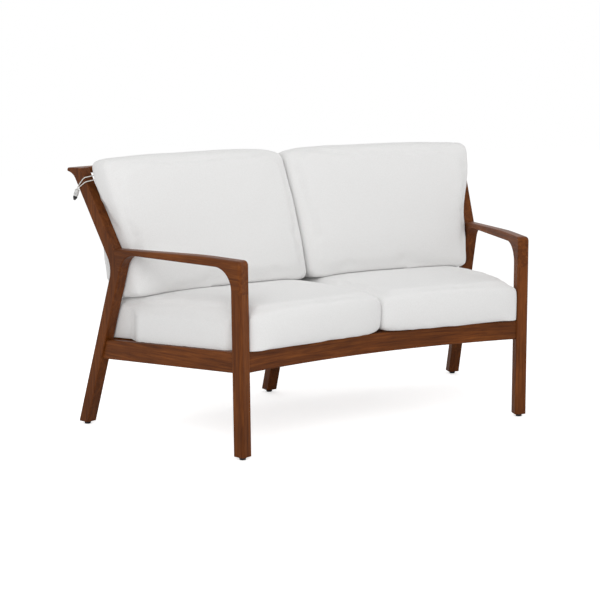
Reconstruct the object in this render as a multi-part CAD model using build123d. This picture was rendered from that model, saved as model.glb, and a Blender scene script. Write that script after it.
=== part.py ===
from build123d import *
from math import asin, atan, cos, degrees, hypot, pi, radians, sin, sqrt, tan
import os

# Crescent loveseat: two splayed side frames, a hollow-curved front, a bowed back with
# slats, five legs on levelling glides, and four loose cushions. Millimetres, +Z up,
# the front towards -Y. Everything is worked out with Y = 0 on the line of the front
# feet, and moved at the end so that the origin is on the floor under the middle.

# Plan of the frame
front_foot_half_spacing = 549
side_length = 717  # from the front foot to the rear foot, along the side
side_splay = 18.0  # degrees that each side opens towards the rear
arc_centre_distance = 2400  # the curves' common centre, in front of the front feet

# Heights
leg_bottom = 10
rail_height = 66
front_rail_top = 339
rear_rail_top = 305
arm_height = 626
frame_height = 871

# Legs, posts and arms
leg_depth = 40  # along the side
leg_width = 41  # across the side
front_leg_rake = 9  # how far the top stands behind the foot
rear_leg_lean = 17.9  # degrees
post_depth = 41
post_lean = 30.8  # degrees
knee_drop = 73  # below the top of the arm
arm_thickness = 26
arm_rear_drop = 12
arm_crown = 2
arm_crown_share = 0.3
arm_joint_drop = 104  # below the top of the arm
rear_joint_drop = 98
rear_joint_share = 2 / 3  # of the rear joint's length, where its dowels are
crest_reach = 65  # from the front of the post's top to the crest's rear tip
crest_depth = 53
crest_thickness = 20
crest_tip_thickness = 13
crest_tip_drop = 1

# Rounding of the side frame
arm_corner_radius = 16
arm_sweep_radius = 2000
front_knee_radius = 70
rear_knee_radius = 65
post_knee_radius = 85
flare_radius = 50
tip_top_radius = 8
tip_under_radius = 4
outer_edge_radius = 10
edge_radius = 4

# Rails
front_rail_advance = 15  # of its front face before the middle of the front leg
rail_thickness = 26
side_rail_recess = 8
back_slat_setback = 9  # behind the middle of the rear leg, halfway up the rear rail
back_slat_inset = 19  # from the crest's front edge to the slats, on its underside
rail_edge_radius = 4
centre_rail_width = 26
centre_rail_height = 30

# Seat
slat_rise = 2  # the slats stand this much above the front rail
seat_slat_count = 9
seat_end_space = 29.5  # from the outer slats to the front legs
seat_slat_width = 62
seat_slat_thickness = 18
slat_edge_radius = 3
cleat_height = 18
cleat_depth = 20
rear_cleat_depth = 30
end_gap = 1.5
seat_gap = 0.1  # between a flat slat and the slightly conical cleat

# Back
back_slat_count = 8
back_end_space = 117  # from the outer slats to the rear legs
back_slat_width = 58
back_slat_thickness = 12
slat_socket_depth = 8

# Joinery
tenon_thickness = 10
tenon_shoulder = 10
rear_tenon_shoulder = 16
side_tenon_depth = 12
rail_tenon_depth = 14
joint_clearance = 0.2
dowel_diameter = 8
dowel_length = 44
dowel_end_gap = 2
dowel_spread = 9  # from the middle of the leg
dowel_clearance = 0.1
screw_diameter = 4
screw_head_diameter = 8
screw_length = 32
screw_sink = 0.5
screw_clearance = 0.1
screw_spread = 18
block_reach = 56
block_height = 28
block_screw_share = 0.3

# Glides
glide_diameter = 24
glide_foot_diameter = 20
stem_diameter = 8
insert_diameter = 12
insert_length = 18
thread_clearance = 0.1
glide_travel = 8

# Seat cushions
seat_cushion_height = 128
seat_crown = 16
seat_front_bulge = 12
seat_rear_bulge = 6
seat_end_draw = 13  # how much the ends pull in at the front and rear
seat_end_drop = 17  # how much lower the ends are
seat_overhang = 24  # of the front past the front rail, at the middle of the seat
seat_outer_overhang = 14  # of the front past the front leg
seat_front_belly = 15
seat_side_bulge = 22
seat_lift = 80  # height to which the side bulge clears the leaning rear leg
side_bulge_gap = 8
side_bulge_draw = 50
side_bulge_shares = ((0.7, 0.45), (1, 1))  # of the bulge and of how much it draws in
cushion_clearance = 2
rest_gap = 0.3
middle_gap = 0.6  # half of the gap between two cushions

# Back cushions, each with an outer end at the side and an inner end at the middle
back_cushion_rise = 23  # of the top's corners above the frame
back_crown = 16
back_bottom_gap_outer = 22  # between the foot's rear corner and the slats
back_bottom_gap_inner = 49
back_bottom_thickness_outer = 172
back_bottom_thickness_inner = 214
back_top_gap_outer = 12.5  # from the top's rear corner to the post
back_top_gap_inner = 15.5  # from the top's rear corner to the crest
back_top_thickness_outer = 104
back_top_thickness_inner = 112
back_front_bulge = 26
back_rear_bulge = 28
back_end_draw = 16
back_end_drop = 14
back_rest_gap = 0.5

# Cushion covers over their filling
cover_thickness = 3

# Shares of a cushion's width at which its sections stand, and how full each is
section_shares = (0.0, 0.08, 0.26, 0.5, 0.74, 0.92, 1.0)
fullness_shares = (0.0, 0.66, 0.96, 1.0, 0.96, 0.66, 0.0)
underside_share = 0.3  # of the ends' drop, found again underneath
end_bulge_share = 0.4

# Ties round the outer posts
cord_diameter = 3.2
cord_gap = 1.5
cord_seat_gap = 0.9
upper_tie_drop = 32  # below the top of the frame
lower_tie_drop = 45
tie_slant = 14  # from the cushion's side to the post's front edge
lock_behind = 6.5  # from the post's rear edge, level with the lock's top
lock_drop = 72  # of the lock's top below the top of the frame
lock_lean = 24.6  # degrees away from the vertical, rearwards
lock_diameter = 16
lock_length = 22
lock_edge_radius = 2
lock_cord_spacing = 5.8
lock_cord_drop = 10  # of the straight cords above the lock
cord_bend_share = 0.45  # of the shorter run beside a bend
cord_socket_depth = 3
cord_socket_clearance = 0.1
lock_wall = 2
window_diameter = 3.4
window_height = 9  # of the windows above the lock's lower end
button_diameter = 9.4
button_length = 10  # inside the lock
button_travel = 3
button_gap = 0.3
button_clearance = 0.1
cap_diameter = 14.5
cap_tip_diameter = 7
cap_length = 12.5
cap_shoulder_share = 1 / 3
spring_wall = 1.2
spring_length = 4

# One overrun for all cuts
overrun = 5

splay = radians(side_splay)
leg_tan = tan(radians(rear_leg_lean))
post_tan = tan(radians(post_lean))
arm_underside = arm_height - arm_thickness
stem_length = insert_length + glide_travel
knee_height = arm_height - knee_drop
arm_joint_height = arm_height - arm_joint_drop
rear_joint_height = arm_height - rear_joint_drop
lock_top = frame_height - lock_drop
back_cushion_top = frame_height + back_cushion_rise
half_width = leg_width / 2
rear_half_depth = leg_depth / 2 / cos(radians(rear_leg_lean))
post_across = post_depth / cos(radians(post_lean))

# The left side frame's own plane: X runs rearwards along the side, Y up, Z inwards
side_plane = Plane(
    origin=(-front_foot_half_spacing, 0, 0),
    x_dir=(-sin(splay), cos(splay), 0),
    z_dir=(cos(splay), sin(splay), 0),
)
arc_centre = Vector(0, -arc_centre_distance, 0)
arc_axis = Axis(arc_centre, (0, 0, 1))

pieces = {}
dowels = []


def front_leg_front(height):
    return front_leg_rake * (height - leg_bottom) / (arm_underside - leg_bottom) - leg_depth / 2


def front_leg_rear(height):
    return front_leg_front(height) + leg_depth


def rear_leg_front(height):
    return side_length - rear_half_depth - leg_tan * (height - leg_bottom)


def rear_leg_rear(height):
    return rear_leg_front(height) + 2 * rear_half_depth


def post_rear(height):
    return rear_leg_rear(knee_height) + post_tan * (height - knee_height)


def post_front(height):
    return post_rear(height) - post_across


def lerp(start, end, share):
    return start + (end - start) * share


def arc_plane(angle):
    """A vertical plane through the curves' centre: X outwards, Y up."""
    turn = radians(angle)
    return Plane(origin=arc_centre, x_dir=(sin(turn), cos(turn), 0), z_dir=(cos(turn), -sin(turn), 0))


def side_point(along, height, inwards):
    return side_plane.from_local_coords(Vector(along, height, inwards))


def arc_radius(along, inwards=0):
    """Distance from the curves' centre of a point on the side frame."""
    point = side_point(along, 0, inwards)
    return hypot(point.X, point.Y + arc_centre_distance)


def slat_spacing(along, radius, space, width, count):
    """Degrees between slats that fill an arc, but for a space beside either side frame."""
    point = side_point(along, 0, half_width)
    widest = degrees(atan(-point.X / (point.Y + arc_centre_distance)))
    outer = widest - degrees((space + width / 2) / radius)
    return outer * 2 / (count - 1)


def rounded_runs(points, radii):
    """For each corner of a closed outline, its arc and the line that leaves it."""
    corners = []
    for index, (point, radius) in enumerate(zip(points, radii)):
        corner = Vector(*point)
        back = (Vector(*points[index - 1]) - corner).normalized()
        ahead = (Vector(*points[(index + 1) % len(points)]) - corner).normalized()
        half = radians(back.get_angle(ahead)) / 2
        reach = radius / tan(half)
        middle = (back + ahead).normalized() * (radius / sin(half) - radius)
        corners.append((corner + back * reach, corner + middle, corner + ahead * reach))
    runs = []
    for index, (start, middle, end) in enumerate(corners):
        following = corners[(index + 1) % len(corners)][0]
        run = [Line(end, following)]
        if radii[index]:
            run.insert(0, ThreePointArc(start, middle, end))
        runs.append(run)
    return runs


def outline_face(points, radii):
    return make_face([edge for run in rounded_runs(points, radii) for edge in run])


def ring(points, radii, half_angle):
    """A section, radius by height, swept round the curves' centre."""
    face = arc_plane(half_angle) * outline_face(points, radii)
    return revolve(face, arc_axis, revolution_arc=2 * half_angle).solid()


def between_sides(shape, depth=0):
    """Cut a ring at the inner faces of the side frames, or some depth into them."""
    face = side_point(0, 0, half_width - depth)
    left = Plane(origin=face, z_dir=side_plane.z_dir)
    right = Plane(origin=(-face.X, face.Y, 0), z_dir=(-left.z_dir.X, left.z_dir.Y, 0))
    return split(split(shape, left, Keep.TOP), right, Keep.TOP).solid()


def both_sides(name, solid):
    pieces[name + "_left"] = solid
    pieces[name + "_right"] = solid.mirror(Plane.YZ)


def cylinder_on(plane, radius, bottom, top):
    """A cylinder along a plane's Z, between two levels of it."""
    tall = top - bottom
    return plane.offset(bottom + tall / 2) * Cylinder(radius, tall)


def add_dowel(plane, names, length=dowel_length):
    """A dowel centred on a plane and along its Z, with its hole in each named piece."""
    dowels.append(cylinder_on(plane, dowel_diameter / 2, -length / 2, length / 2).solid())
    reach = length / 2 + dowel_end_gap
    hole = cylinder_on(plane, dowel_diameter / 2 + dowel_clearance, -reach, reach)
    for name in names:
        pieces[name] = (pieces[name] - hole).solid()


def mirrored_plane(plane):
    return Plane(
        origin=(-plane.origin.X, plane.origin.Y, plane.origin.Z),
        x_dir=(-plane.x_dir.X, plane.x_dir.Y, plane.x_dir.Z),
        z_dir=(-plane.z_dir.X, plane.z_dir.Y, plane.z_dir.Z),
    )


def screw_shape(grow, length=screw_length):
    """A countersunk screw below the plane Z = 0, or the hole for it."""
    shank = screw_diameter / 2 + grow
    head = screw_head_diameter / 2 + grow
    cone = (screw_head_diameter - screw_diameter) / 2
    top = -screw_sink if grow == 0 else screw_sink
    outline = [
        (0, top),
        (head, top),
        (head, -screw_sink),
        (shank, -screw_sink - cone),
        (shank, -length - grow),
        (0, -length - grow - shank),
    ]
    if grow == 0:
        outline.pop(1)
    face = make_face(Polyline(*outline, close=True))
    return revolve(Plane.XZ * face, Axis.Z)


screw_groups = {"seat_slat_screws": [], "back_slat_screws": [], "frame_screws": []}


def add_screw(group, plane, names, length=screw_length):
    """A screw driven against a plane's Z, with its hole in each named piece."""
    screw_groups[group].append((plane * screw_shape(0, length)).solid())
    hole = plane * screw_shape(screw_clearance, length)
    for name in names:
        pieces[name] = (pieces[name] - hole).solid()


# Side frame: one outline for leg, arm and post, cut at its joints
def rounded_side():
    top_front = post_front(frame_height)
    tip = top_front + crest_reach
    notch = arm_height - arm_rear_drop
    corners = [
        ((front_leg_front(leg_bottom), leg_bottom), 0),
        ((front_leg_front(arm_height), arm_height), arm_corner_radius),
        ((arm_crown_share * post_front(notch), arm_height + arm_crown), arm_sweep_radius),
        ((post_front(notch), notch), 0),
        ((top_front, frame_height), 0),
        ((tip, frame_height - crest_tip_drop), tip_top_radius),
        ((tip, frame_height - crest_tip_thickness), tip_under_radius),
        ((post_rear(frame_height - crest_thickness), frame_height - crest_thickness), flare_radius),
        ((rear_leg_rear(knee_height), knee_height), post_knee_radius),
        ((rear_leg_rear(leg_bottom), leg_bottom), 0),
        ((rear_leg_front(leg_bottom), leg_bottom), 0),
        ((rear_leg_front(arm_underside), arm_underside), rear_knee_radius),
        ((front_leg_rear(arm_underside), arm_underside), front_knee_radius),
        ((front_leg_rear(leg_bottom), leg_bottom), 0),
    ]
    runs = rounded_runs([point for point, _ in corners], [radius for _, radius in corners])
    body = extrude(make_face([edge for run in runs for edge in run]), half_width, both=True).solid()

    def edges_on(solid, chain, level, near):
        middles = [run.position_at(0.5) for group in chain for run in group]
        found = []
        for edge in solid.edges():
            at = edge.position_at(0.5)
            reach = min((Vector(middle.X, middle.Y, level) - at).length for middle in middles)
            if reach < near:
                found.append(edge)
        return found

    arm_chain, post_chain, rear_chain, under_chain = runs[0:3], runs[3:4], runs[4:9], runs[10:13]
    near = crest_tip_drop / 2
    body = fillet(edges_on(body, arm_chain, -half_width, near), outer_edge_radius)
    body = fillet(edges_on(body, under_chain, -half_width, near), edge_radius)
    body = fillet(edges_on(body, rear_chain, -half_width, near), edge_radius)
    body = fillet(edges_on(body, post_chain, -half_width, outer_edge_radius + edge_radius), edge_radius)
    whole = arm_chain + post_chain + rear_chain + under_chain
    return fillet(edges_on(body, whole, half_width, near), edge_radius).solid()


side = rounded_side()
notch_height = arm_height - arm_rear_drop
notch_point = Vector(post_front(notch_height), notch_height, 0)
lower_point = Vector(rear_leg_front(rear_joint_height), rear_joint_height, 0)
joint_slope = (notch_point - lower_point).normalized()
rear_joint = Plane(origin=lower_point, x_dir=joint_slope, z_dir=(joint_slope.Y, -joint_slope.X, 0))
front_joint = Plane(origin=(0, arm_joint_height, 0), x_dir=(1, 0, 0), z_dir=(0, 1, 0))
rear_leg = split(side, rear_joint, Keep.TOP).solid()
front_part = split(side, rear_joint, Keep.BOTTOM).solid()
arm = split(front_part, front_joint, Keep.TOP).solid()
front_leg = split(front_part, front_joint, Keep.BOTTOM).solid()


# Side rail, from leg to leg, and its tenons
def side_rail_outline(drop, reach, grow=0):
    front_top = front_rail_top - drop + grow
    rear_top = rear_rail_top - drop + grow
    front_under = front_rail_top - rail_height + drop - grow
    rear_under = rear_rail_top - rail_height + drop - grow
    return [
        (front_leg_rear(front_top) - reach, front_top),
        (rear_leg_front(rear_top) + reach, rear_top),
        (rear_leg_front(rear_under) + reach, rear_under),
        (front_leg_rear(front_under) - reach, front_under),
    ]


side_rail_middle = (rail_thickness / 2) - half_width + side_rail_recess


def side_rail_solid(drop, reach, thickness, grow=0):
    face = make_face(Polyline(*side_rail_outline(drop, reach, grow), close=True))
    level = Plane.XY.offset(side_rail_middle)
    return extrude(level * face, thickness / 2 + grow, both=True).solid()


side_rail = side_rail_solid(0, 0, rail_thickness)
long_edges = [edge for edge in side_rail.edges() if edge.length > side_length / 2]
side_rail = fillet(long_edges, rail_edge_radius).solid()
tenons = side_rail_solid(tenon_shoulder, side_tenon_depth, tenon_thickness)
side_rail = (side_rail + tenons).solid()
mortise_depth = side_tenon_depth + joint_clearance
mortises = side_rail_solid(tenon_shoulder, mortise_depth, tenon_thickness, joint_clearance)
front_leg = (front_leg - mortises).solid()
rear_leg = (rear_leg - mortises).solid()

for name, solid in (
    ("front_leg", front_leg),
    ("rear_leg", rear_leg),
    ("armrest", arm),
    ("side_rail", side_rail),
):
    both_sides(name, solid.moved(side_plane.location))


# The rails' places between the legs
front_leg_middle = front_leg_rear(front_rail_top) - leg_depth / 2
rear_rail_level = rear_rail_top - rail_height / 2
rear_leg_middle = rear_leg_front(rear_rail_level) + rear_half_depth
front_rail_radius = arc_radius(front_leg_middle, half_width) - front_rail_advance
back_slat_foot_radius = arc_radius(rear_leg_middle, half_width) + back_slat_setback

# The crest's place, and the back slats' lean from the rear rail up to it
crest_underside = frame_height - crest_thickness
crest_tip_radius = arc_radius(post_front(frame_height) + crest_reach, half_width)
crest_under_radius = arc_radius(post_rear(crest_underside), half_width)
crest_front_radius = crest_tip_radius - crest_depth
slat_run = crest_front_radius + back_slat_inset - back_slat_foot_radius
slat_tan = slat_run / (crest_underside - rear_rail_level)
slat_lean = atan(slat_tan)
back_slat_front_radius = back_slat_foot_radius + slat_tan * rail_height / 2


def back_slat_front(height):
    return back_slat_front_radius + slat_tan * (height - rear_rail_top)


# Curved rails
def front_rail_section(inset, grow=0):
    near = front_rail_radius + inset - grow
    far = front_rail_radius + rail_thickness - inset + grow
    low = front_rail_top - rail_height + tenon_shoulder * (inset > 0) - grow
    high = front_rail_top - tenon_shoulder * (inset > 0) + grow
    return [(near, low), (far, low), (far, high), (near, high)]


def rear_rail_section(inset, grow=0):
    low = rear_rail_top - rail_height + rear_tenon_shoulder * (inset > 0) - grow
    high = rear_rail_top - rear_tenon_shoulder * (inset > 0) + grow
    far = back_slat_front_radius - inset + grow
    near = back_slat_front_radius - rail_thickness + inset - grow
    lean = slat_tan * (rear_rail_top - low)
    high_lean = slat_tan * (rear_rail_top - high)
    return [(near - lean, low), (far - lean, low), (far - high_lean, high), (near - high_lean, high)]


rail_radii = [rail_edge_radius] * 4
square = [0] * 4
wide_angle = degrees(asin((front_foot_half_spacing + side_length / 2) / back_slat_front_radius))
tenon_inset = (rail_thickness - tenon_thickness) / 2


def tenoned_rail(section):
    rail = between_sides(ring(section(0), rail_radii, wide_angle))
    tenon = between_sides(ring(section(tenon_inset), square, wide_angle), rail_tenon_depth)
    return (rail + tenon).solid()


def cut_mortises(section, leg):
    depth = rail_tenon_depth + joint_clearance
    slot = between_sides(ring(section(tenon_inset, joint_clearance), square, wide_angle), depth)
    for hand in ("_left", "_right"):
        pieces[leg + hand] = (pieces[leg + hand] - slot).solid()


pieces["front_rail"] = tenoned_rail(front_rail_section)
cut_mortises(front_rail_section, "front_leg")
pieces["rear_rail"] = tenoned_rail(rear_rail_section)
cut_mortises(rear_rail_section, "rear_leg")

crest_section = [
    (crest_front_radius, crest_underside),
    (crest_under_radius, crest_underside),
    (crest_tip_radius, frame_height - crest_tip_thickness),
    (crest_tip_radius, frame_height - crest_tip_drop),
    (crest_front_radius, frame_height),
]
crest_radii = [rail_edge_radius, flare_radius, tip_under_radius, tip_top_radius, rail_edge_radius]
pieces["crest_rail"] = between_sides(ring(crest_section, crest_radii, wide_angle))

# Cleats that carry the seat slats, following the seat's fall to the rear
front_rail_back = front_rail_radius + rail_thickness
rear_rail_front = back_slat_front_radius - rail_thickness
seat_fall = (front_rail_top - rear_rail_top) / (rear_rail_front - front_rail_radius)
seat_top = front_rail_top + slat_rise


seat_slat_pitch = slat_spacing(0, front_rail_radius, seat_end_space, seat_slat_width, seat_slat_count)


def seat_level(radius, below=0):
    return seat_top - seat_fall * (radius - front_rail_radius) - below


def cleat(radii_across):
    near, far = radii_across(seat_slat_thickness + seat_gap)
    low_near, low_far = radii_across(seat_slat_thickness + cleat_height)
    section = [
        (near, seat_level(near, seat_slat_thickness + seat_gap)),
        (far, seat_level(far, seat_slat_thickness + seat_gap)),
        (low_far, seat_level(low_far, seat_slat_thickness + cleat_height)),
        (low_near, seat_level(low_near, seat_slat_thickness + cleat_height)),
    ]
    return ring(section, square, cleat_half_angle)


def rear_rail_face(below):
    """Radius of the leaning rear rail's front face, that far below the seat's surface."""
    level = seat_level(rear_rail_front, below)
    steep = 1 - slat_tan * seat_fall
    return rear_rail_front - slat_tan * (rear_rail_top - level) / steep


outer_slat_angle = seat_slat_pitch * (seat_slat_count - 1) / 2
cleat_half_angle = outer_slat_angle + degrees(seat_slat_width / front_rail_radius) / 2
pieces["front_cleat"] = cleat(lambda below: (front_rail_back, front_rail_back + cleat_depth))
pieces["rear_cleat"] = cleat(lambda below: (rear_rail_front - rear_cleat_depth, rear_rail_face(below)))

# Seat slats, radial, each with two screws at either end
slat_start = front_rail_back + end_gap
slat_end = rear_rail_face(seat_slat_thickness) - end_gap
for index in range(seat_slat_count):
    angle = (index - (seat_slat_count - 1) / 2) * seat_slat_pitch
    profile = [
        (slat_start, seat_level(slat_start)),
        (slat_end, seat_level(slat_end)),
        (slat_end, seat_level(slat_end, seat_slat_thickness)),
        (slat_start, seat_level(slat_start, seat_slat_thickness)),
    ]
    board = extrude(make_face(Polyline(*profile, close=True)), seat_slat_width / 2, both=True).solid()
    upper = [edge for edge in board.edges() if edge.position_at(0.5).Y > seat_level(slat_end)]
    upper = [edge for edge in upper if abs(edge.tangent_at(0).X) > 0.5]
    board = fillet(upper, slat_edge_radius).solid()
    name = "seat_slat_%d" % (index + 1)
    pieces[name] = board.moved(arc_plane(angle).location)
    lie = Vector(1, -seat_fall, 0).normalized()
    for radius, held_by in (
        (front_rail_back + cleat_depth / 2, "front_cleat"),
        (rear_rail_front - cleat_depth / 2 - screw_diameter, "rear_cleat"),
    ):
        for across in (-screw_spread, screw_spread):
            place = arc_plane(angle)
            head = Vector(radius, seat_level(radius), across)
            upwards = Vector(-lie.Y, lie.X, 0)
            origin, ahead, above = (place.from_local_coords(head + way) for way in (Vector(), lie, upwards))
            plane = Plane(origin=origin, x_dir=ahead - origin, z_dir=above - origin)
            add_screw("seat_slat_screws", plane, (name, held_by))

# Back slats, screwed behind the rear rail and let into the crest
slat_bottom = rear_rail_top - rail_height
slat_top = crest_underside + slat_socket_depth
slat_depth_across = back_slat_thickness / cos(slat_lean)


def back_slat_section(grow=0):
    low = slat_bottom
    high = slat_top + grow
    near_low = back_slat_front(low)
    near_high = back_slat_front(high)
    return [
        (near_low - grow, low),
        (near_low + slat_depth_across + grow, low),
        (near_high + slat_depth_across + grow, high),
        (near_high - grow, high),
    ]


def back_slat(angle, grow=0):
    half_angle = degrees((back_slat_width / 2 + grow) / back_slat_front_radius)
    return ring(back_slat_section(grow), square, half_angle).rotate(arc_axis, -angle)


back_slat_pitch = slat_spacing(
    rear_leg_middle, back_slat_front_radius, back_end_space, back_slat_width, back_slat_count
)
for index in range(back_slat_count):
    angle = (index - (back_slat_count - 1) / 2) * back_slat_pitch
    name = "back_slat_%d" % (index + 1)
    pieces[name] = back_slat(angle)
    socket = back_slat(angle, joint_clearance)
    pieces["crest_rail"] = (pieces["crest_rail"] - socket).solid()
    outer_face = back_slat_foot_radius + slat_depth_across
    for across in (-screw_spread, screw_spread):
        place = arc_plane(angle + degrees(across / outer_face))
        origin = place.from_local_coords(Vector(outer_face, rear_rail_level, 0))
        outwards = Vector(cos(slat_lean), -sin(slat_lean), 0)
        normal = place.from_local_coords(Vector(outer_face, rear_rail_level, 0) + outwards) - origin
        plane = Plane(origin=origin, x_dir=place.z_dir, z_dir=normal)
        add_screw("back_slat_screws", plane, (name, "rear_rail"))

# Centre rail under the slats
rail_start = front_rail_radius + rail_thickness / 2
centre_drop = seat_slat_thickness + cleat_height + seat_gap
centre_bottom = centre_drop + centre_rail_height
high_end = rear_rail_face(centre_drop) + rail_thickness / 2
low_end = rear_rail_face(centre_bottom) + rail_thickness / 2
centre_outline = [
    (rail_start, seat_level(rail_start, centre_drop)),
    (high_end, seat_level(high_end, centre_drop)),
    (low_end, seat_level(low_end, centre_bottom)),
    (rail_start, seat_level(rail_start, centre_bottom)),
]
centre_face = arc_plane(0) * make_face(Polyline(*centre_outline, close=True))
centre_rail = extrude(centre_face, centre_rail_width / 2, both=True)
front_core = ring(front_rail_section(0), square, wide_angle)
rear_core = ring(rear_rail_section(0), square, wide_angle)
pieces["centre_rail"] = (centre_rail - front_core - rear_core).solid()

# Middle rear leg, under the rear rail
middle_foot_radius = arc_radius(side_length)
middle_outline = [
    (middle_foot_radius - rear_half_depth, leg_bottom),
    (middle_foot_radius + rear_half_depth, leg_bottom),
    (middle_foot_radius + rear_half_depth - leg_tan * (slat_bottom - leg_bottom), slat_bottom),
    (middle_foot_radius - rear_half_depth - leg_tan * (slat_bottom - leg_bottom), slat_bottom),
]
middle_leg = extrude(make_face(Polyline(*middle_outline, close=True)), half_width, both=True).solid()
corners = [edge for edge in middle_leg.edges() if abs(edge.tangent_at(0).Y) > 0.5]
middle_leg = fillet(corners, edge_radius).solid()
pieces["middle_rear_leg"] = middle_leg.moved(arc_plane(0).location)

# Dowels: arm joints, crest ends, centre rail and middle leg
leg_middle = (front_leg_front(arm_joint_height) + front_leg_rear(arm_joint_height)) / 2
joint_length = (notch_point - lower_point).length
hands = ((lambda plane: plane, "_left"), (mirrored_plane, "_right"))
for place, hand in hands:
    for across in (-dowel_spread, dowel_spread):
        upright = Plane(
            origin=side_point(leg_middle, arm_joint_height, across), x_dir=side_plane.x_dir, z_dir=(0, 0, 1)
        )
        add_dowel(place(upright), ("front_leg" + hand, "armrest" + hand))
        middle = lower_point + joint_slope * joint_length * rear_joint_share
        origin = side_point(middle.X, middle.Y, across)
        normal = side_point(middle.X + joint_slope.Y, middle.Y - joint_slope.X, across) - origin
        level = Plane(origin=origin, x_dir=side_plane.z_dir, z_dir=normal)
        add_dowel(place(level), ("rear_leg" + hand, "armrest" + hand))
    crest_middle = post_rear(crest_underside) - crest_tip_thickness
    crest_level = crest_underside + crest_thickness / 2
    end = Plane(
        origin=side_point(crest_middle, crest_level, half_width),
        x_dir=side_plane.x_dir,
        z_dir=side_plane.z_dir,
    )
    add_dowel(place(end), ("rear_leg" + hand, "crest_rail"), leg_width - edge_radius)

for across in (-dowel_spread, dowel_spread):
    middle_radius = middle_foot_radius - leg_tan * (slat_bottom - leg_bottom)
    origin = (across, middle_radius - arc_centre_distance, slat_bottom)
    add_dowel(Plane(origin=origin), ("middle_rear_leg", "rear_rail"))
centre_depth = centre_drop + centre_rail_height / 2
for radius, rail in ((front_rail_back, "front_rail"), (rear_rail_face(centre_depth), "rear_rail")):
    origin = (0, radius - arc_centre_distance, seat_level(radius, centre_depth))
    add_dowel(Plane(origin=origin, z_dir=(0, 1, 0)), (rail, "centre_rail"), rail_thickness)


# Corner blocks between the front rail and the side rails, below the cleat
block_top = seat_level(front_rail_back + cleat_depth, seat_slat_thickness + cleat_height) - end_gap
side_rail_face = side_rail_middle + rail_thickness / 2
block_start = front_leg_rear(block_top) + end_gap
block_side_end = side_point(block_start + block_reach, block_top, side_rail_face)
block_front_end = side_point(0, block_top, side_rail_face + block_reach)
block_outline = [
    side_point(block_start, block_top, side_rail_face),
    block_side_end,
    block_front_end,
    side_point(0, block_top, half_width + end_gap),
    side_point(block_start, block_top, half_width + end_gap),
]
block = extrude(make_face(Polyline(*block_outline, close=True)), block_height, dir=(0, 0, -1))
both_sides("corner_block", (block - front_core).solid())
block_slope = (block_front_end - block_side_end).normalized()
block_outwards = Vector(-block_slope.Y, block_slope.X, 0) * -1
for place, hand in hands:
    for share, rail in ((block_screw_share, "side_rail" + hand), (1 - block_screw_share, "front_rail")):
        origin = lerp(block_side_end, block_front_end, share) - Vector(0, 0, block_height / 2)
        screw_plane = Plane(origin=origin, x_dir=(0, 0, 1), z_dir=block_outwards)
        add_screw("frame_screws", place(screw_plane), ("corner_block" + hand, rail))

# Cleat screws into the rails
for index in range(seat_slat_count - 1):
    angle = (index + 1 - seat_slat_count / 2) * seat_slat_pitch
    if abs(angle) < seat_slat_pitch / 2:
        continue
    place = arc_plane(angle)
    for radius, way, name, rail in (
        (front_rail_back + cleat_depth, 1, "front_cleat", "front_rail"),
        (rear_rail_front - rear_cleat_depth, -1, "rear_cleat", "rear_rail"),
    ):
        level = seat_level(radius, seat_slat_thickness + cleat_height / 2)
        plane = Plane(origin=place.from_local_coords(Vector(radius, level, 0)), z_dir=place.x_dir * way)
        add_screw("frame_screws", plane, (name, rail))


# Levelling glides, each in a threaded insert in the end of its leg
def glide_at(plane):
    upright = (Align.CENTER, Align.CENTER, Align.MIN)
    foot = Cone(glide_foot_diameter / 2, glide_diameter / 2, leg_bottom, align=upright)
    stem_top = leg_bottom + stem_length
    return (plane * (foot + cylinder_on(Plane.XY, stem_diameter / 2, 0, stem_top))).solid()


inserts = []
foot_places = {
    "front_left": (side_point(0, 0, 0), "front_leg_left"),
    "rear_left": (side_point(side_length, 0, 0), "rear_leg_left"),
    "rear_middle": (Vector(0, middle_foot_radius - arc_centre_distance, 0), "middle_rear_leg"),
}
for foot in ("front", "rear"):
    point, _ = foot_places[foot + "_left"]
    foot_places[foot + "_right"] = (Vector(-point.X, point.Y, 0), foot + "_leg_right")
for foot, (point, leg) in foot_places.items():
    plane = Plane(origin=point)
    pieces["glide_" + foot] = glide_at(plane)
    sleeve_top = leg_bottom + insert_length
    bore = stem_diameter / 2 + thread_clearance
    sleeve = cylinder_on(plane, insert_diameter / 2, leg_bottom, sleeve_top)
    inserts.append((sleeve - cylinder_on(plane, bore, 0, sleeve_top + overrun)).solid())
    hole = cylinder_on(plane, insert_diameter / 2 + thread_clearance, 0, sleeve_top)
    deep = cylinder_on(plane, bore + thread_clearance, 0, leg_bottom + stem_length + dowel_end_gap)
    pieces[leg] = (pieces[leg] - hole - deep).solid()


# Cushions, each lofted through upright sections from its outer to its inner end
cushion_side = half_width + cushion_clearance
seat_cushion_back = min(
    back_slat_front(rear_rail_top),
    back_slat_front(rear_rail_top + seat_cushion_height / 2) - seat_rear_bulge,
    back_slat_front(rear_rail_top + seat_cushion_height),
)
seat_rear_radius = seat_cushion_back - cushion_clearance
seat_rear_reach = seat_rear_radius - front_rail_radius
back_foot_level = seat_level(seat_rear_radius, -seat_cushion_height)


def station(share):
    """A section's plane: X runs rearwards from the line of the front feet, Y up."""
    outer = side_point(0, 0, cushion_side)
    origin = lerp(outer, Vector(-middle_gap, 0, 0), share)
    rearwards = lerp(side_plane.x_dir, Vector(0, 1, 0), share).normalized()
    return Plane(origin=origin, x_dir=rearwards, z_dir=(rearwards.Y, -rearwards.X, 0))


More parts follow.
